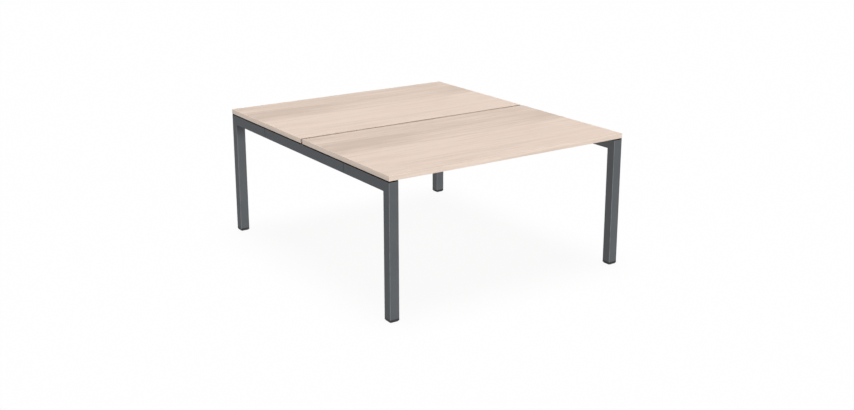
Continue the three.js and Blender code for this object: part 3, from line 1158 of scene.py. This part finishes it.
@dataclass
class Crossbar(SubAssembly):
    """Beam under a desktop with its welds and the screws that hold the desktop."""

    place: Place
    high: float = 0.050
    wide: float = 0.030
    wall: float = 0.002
    corner_round: float = 0.003
    reach: float = 0.6624
    bead: float = 0.0022
    bead_span: float = 0.034
    # Section of a bead: shares of its size along the beam and out from its side.
    bead_bow: tuple[Flat, ...] = ((0.0, 0.0), (0.0, 1.2), (0.62, 0.85), (1.0, 0.0))
    bead_sink: float = 0.25
    bead_end: float = 0.55
    bead_swell: float = 0.33
    ripple: float = 0.0034
    ripple_steps: int = 6
    ripple_swell: float = 0.12
    screw_x: float = 0.450
    screw_radius: float = 0.0025
    screw_bite: float = 0.015
    screw_point: float = 0.004
    screw_tip: float = 0.08
    head_radius: float = 0.005
    head_height: float = 0.003
    # Shares of the head's radius and height down its side, then of the recess: arm, half width, height.
    head: tuple[Flat, ...] = (
        (0.96, 0.0), (1.0, 0.1), (1.0, 0.45), (0.92, 0.75), (0.8, 0.93), (0.66, 1.0),
    )
    recess: tuple[Point, ...] = ((0.52, 0.12, 1.0), (0.44, 0.09, 0.35))

    def build(self) -> None:
        """Builds the beam and its two screws."""
        label = self.place.label
        top = self.layout.top_under - self.layout.clearance
        y = self.place.value * self.layout.desk_y
        beam = self.beam().piece(f"crossbar_{label}", (0.0, y, top - self.high / 2))
        self.add(beam, Slot.FRAME_PAINT, f"beam_{label}")
        under = top - self.high - self.layout.clearance
        for side in Side:
            spot = (side.value * self.screw_x, y, under)
            screw = Shell().loft(self.screw_rings()).piece(f"fixing_{label}_{side.label}", spot)
            self.add(screw, Slot.ZINC, f"screw_{label}_{side.label}")

    def beam(self) -> Shell:
        """Hollow beam with a weld bead up both sides of each end.

        Returns:
            Its mesh about the middle of the beam.
        """
        rings = []
        for reach, inset in ((-self.reach, 0.0), (self.reach, self.wall)):
            outline = rounded_outline((self.wide, self.high), self.corner_round, inset)
            rings += [[(x, u, v) for u, v in outline] for x in (reach, -reach)]
        shell = Shell().loft(rings, closed=True)
        for end in Side:
            for flank in Place:
                shell.loft(self.bead_rings(end, flank))
        return shell

    def bead_rings(self, end: Side, flank: Place) -> list[Ring]:
        """Cross-sections of one rippled weld bead.

        Args:
            end: End of the beam that it is on.
            flank: Side of the beam that it is on.

        Returns:
            The rings, from its lower end upwards.
        """
        count = round(self.bead_span / self.ripple * self.ripple_steps)
        x, y = end.value * self.reach, flank.value * (self.wide / 2 - self.wall * self.bead_sink)
        low = -self.bead_span / 2 - self.corner_round
        rings = []
        for step in range(count + 1):
            ease = min(1.0, 2.0 * min(step, count - step) / self.ripple_steps)
            wave = math.cos(2 * math.pi * step / self.ripple_steps)
            size = self.bead * (self.bead_end + self.bead_swell * ease + self.ripple_swell * wave)
            z = low + self.bead_span * step / count
            bow = self.bead_bow
            rings.append([(x - end.value * size * u, y + flank.value * size * v, z) for u, v in bow])
        return rings

    def screw_rings(self) -> list[Ring]:
        """Pan-head screw with a cross recess, from below the beam up into the desktop.

        Returns:
            The rings, from its tip down and into the recess.
        """
        reach = self.high + 2 * self.layout.clearance + self.screw_bite
        radius, rise, shank = self.head_radius, self.head_height, self.screw_radius
        profile = [(self.screw_tip * shank, reach), (shank, reach - self.screw_point), (shank, 0.0)]
        rings = turned(profile + [(across * radius, -up * rise) for across, up in self.head])
        for arm, half, up in self.recess:
            rings.append(level(cross_outline(arm * radius, half * radius), -up * rise))
        return rings


@dataclass
class Desktop(SubAssembly):
    """Laminated board with a rounded band on each edge."""

    place: Place
    band_thick: float = 0.002
    band_round: float = 0.001
    band_steps: int = 4
    glue_line: float = 0.00005
    arris: float = 0.00015
    board_round: float = 0.0003
    round_steps: int = 2

    def build(self) -> None:
        """Builds the board and its four bands about the desktop's middle."""
        layout, sign, label = self.layout, self.place.value, self.place.label
        middle = (0.0, sign * layout.desk_y, layout.height - layout.top_thick / 2)
        board = Shell().loft(self.board_rings()).piece(f"desktop_{label}", middle)
        self.add(board, Slot.LAMINATE, f"top_{label}_board")
        across = layout.top_depth / 2 - self.band_thick
        along = layout.width / 2 - self.band_thick
        short = layout.top_depth - 2 * self.band_thick - 2 * self.glue_line
        outwards = 0.0 if self.place is Place.REAR else math.pi
        spots = {
            Edge.OUTER: (layout.width, (0.0, sign * across), outwards),
            Edge.INNER: (layout.width, (0.0, -sign * across), math.pi - outwards),
            Edge.LEFT: (short, (-along, 0.0), QUARTER),
            Edge.RIGHT: (short, (along, 0.0), -QUARTER),
        }
        for edge, (length, (x, y), turn) in spots.items():
            name, spot = f"{label}_{edge.value}", (x, middle[1] + y, middle[2])
            band = Shell().loft(self.band_rings(length)).piece(f"edging_{name}", spot, (0.0, 0.0, turn))
            self.add(band, Slot.EDGE_BAND, f"band_{name}")

    def board_rings(self) -> list[Ring]:
        """Board with a fine arris at the glue lines.

        Returns:
            The rings, from its underside upwards.
        """
        half, size = self.layout.top_thick / 2, (self.layout.width, self.layout.top_depth)
        rings = []
        for height, cut in broken_ends(-half, half, self.arris):
            inset = self.band_thick + self.glue_line + cut
            outline = rounded_outline(size, inset + self.board_round, inset, self.round_steps)
            rings.append(level(outline, height))
        return rings

    def band_rings(self, length: float) -> list[Ring]:
        """Band of a length along its own X, with its outside towards +Y."""
        stations = broken_ends(-length / 2, length / 2, self.arris)
        return [[(x, y, z) for y, z in self.band_outline(inset)] for x, inset in stations]

    def band_outline(self, inset: float) -> Outline:
        """Cross-section of a band with its outer edges rounded.

        Args:
            inset: How far its outer side is drawn in.

        Returns:
            Its points, outwards and upwards.
        """
        half, face, radius = self.layout.top_thick / 2 - inset, self.band_thick - inset, self.band_round
        points: Outline = [(0.0, half), (0.0, -half)]
        for start, side in ((-QUARTER, -1.0), (0.0, 1.0)):
            for step in range(self.band_steps + 1):
                angle = start + QUARTER * step / self.band_steps
                rise = side * (half - radius) + radius * math.sin(angle)
                points.append((face - radius + radius * math.cos(angle), rise))
        return points


@dataclass(frozen=True)
class Lamp:
    """Broad distant lamp: its angles in degrees, and the light it adds to a white surface facing it."""

    name: str
    light: float
    rise: float
    turn: float
    spread: float

    def hang(self) -> None:
        """Hangs the lamp so that it shines on the desk."""
        source = bpy.data.lights.new(self.name, "SUN")
        source.energy = math.pi * self.light
        source.angle = math.radians(self.spread)
        lamp = bpy.data.objects.new(self.name, source)
        lamp.rotation_euler = (QUARTER - math.radians(self.rise), 0.0, math.radians(self.turn))
        bpy.context.scene.collection.objects.link(lamp)


@dataclass
class Studio:
    """Floor, light and camera."""

    floor_size: float = 120.0
    floor_clear: float = 0.88
    floor_lift: float = 0.62
    floor_tint: str = "cecece"
    backdrop: float = 1.05
    ambient: float = 0.25
    lamps: tuple[Lamp, ...] = (
        Lamp("overhead", 0.655, 90.0, 0.0, 34.0),
        Lamp("front", 0.531, 2.5, 6.0, 5.0),
        Lamp("left", 0.19, 2.5, -80.0, 5.0),
        Lamp("rear", 0.393, 2.5, 174.0, 5.0),
        Lamp("right", 0.20, 2.5, 100.0, 5.0),
    )
    lens: float = 47.6347
    sensor: float = 36.0
    shift: float = -0.04684
    camera_place: Point = (-3.3407, -5.0011, 2.1376)
    camera_turn: Point = (90 - 15.505, 0.0, -34.1913)

    def build(self) -> None:
        """Sets up everything that isn't the desk."""
        bpy.context.scene.view_settings.view_transform = "Standard"
        self.lay_floor()
        self.light_world()
        for lamp in self.lamps:
            lamp.hang()
        self.aim_camera()

    @staticmethod
    def seen(graph: Graph) -> NodeSocket:
        """Mask of the rays that show the background: straight, mirrored or through glass.

        Args:
            graph: Graph to build it in.

        Returns:
            The mask's socket.
        """
        path = graph.node("ShaderNodeLightPath").outputs
        rays = ("Is Camera Ray", "Is Glossy Ray", "Is Transmission Ray")
        return graph.fold("MAXIMUM", *[path[ray] for ray in rays])

    def lay_floor(self) -> None:
        """Lays a floor that takes the desk's shadow, glows up at the desk and shows the white behind it.

        Feet that are screwed out below the floor stay in sight through it.
        """
        half = self.floor_size / 2
        shell = Shell()
        corners = [(-half, -half, 0.0), (half, -half, 0.0), (half, half, 0.0), (-half, half, 0.0)]
        shell.mesh.faces.new([shell.mesh.verts.new(corner) for corner in corners])
        floor = shell.piece("floor")
        material = bpy.data.materials.new("studio_floor")
        material.use_nodes = True
        nodes = material.node_tree.nodes
        nodes.remove(nodes["Principled BSDF"])
        graph = Graph(material.node_tree)
        matt = graph.node("ShaderNodeBsdfDiffuse", colour(self.floor_tint))
        glow = graph.named(graph.node("ShaderNodeEmission"), Strength=self.floor_lift)
        clear = graph.node("ShaderNodeBsdfTransparent")
        light = graph.node("ShaderNodeMixShader", self.seen(graph), glow.outputs[0], clear.outputs[0])
        mixed = graph.node("ShaderNodeMixShader", self.floor_clear, matt.outputs[0], light.outputs[0])
        graph.named(nodes["Material Output"], Surface=mixed.outputs[0])
        floor.data.materials.append(material)

    def light_world(self) -> None:
        """Lights the desk evenly from all round, against white."""
        world = bpy.data.worlds.new("studio")
        bpy.context.scene.world = world
        world.use_nodes = True
        graph = Graph(world.node_tree)
        more = self.backdrop - self.ambient
        strength = graph.math("MULTIPLY_ADD", self.seen(graph), more, self.ambient)
        background = world.node_tree.nodes["Background"]
        graph.named(background, Color=(1.0, 1.0, 1.0, 1.0), Strength=strength)

    def aim_camera(self) -> None:
        """Places the camera where the photograph was taken from."""
        lens = bpy.data.cameras.new("camera")
        lens.lens = self.lens
        lens.sensor_width = self.sensor
        lens.shift_y = self.shift
        lens.clip_end = 2 * self.floor_size
        camera = bpy.data.objects.new("camera", lens)
        camera.location = self.camera_place
        camera.rotation_euler = [math.radians(angle) for angle in self.camera_turn]
        bpy.context.scene.collection.objects.link(camera)
        bpy.context.scene.camera = camera


def sub_assemblies(layout: Layout) -> list[SubAssembly]:
    """Lists the desk's sub-assemblies in the order they are put together.

    Args:
        layout: Main sizes of the desk.

    Returns:
        The sub-assemblies, not yet built.
    """
    corners = [(side, place) for side in Side for place in Place]
    builders: tuple[Callable[..., SubAssembly], ...] = (EndCorner, LevellingFoot, RailJoint)
    assemblies = [builder(layout, side, place) for builder in builders for side, place in corners]
    assemblies += [EndRail(layout, side) for side in Side]
    assemblies += [Crossbar(layout, place) for place in Place]
    assemblies += [Desktop(layout, place) for place in Place]
    return assemblies


def main() -> None:
    """Builds and dresses the desk in the studio."""
    logging.basicConfig(level=logging.INFO, format="%(message)s")
    bpy.ops.wm.read_factory_settings(use_empty=True)
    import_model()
    Studio().build()
    effects = Effects.build()
    materials = {finish.slot: finish.material(effects) for finish in FINISHES}
    for assembly in sub_assemblies(Layout()):
        assembly.build()
        assembly.dress(materials)


if __name__ == "__main__":
    main()
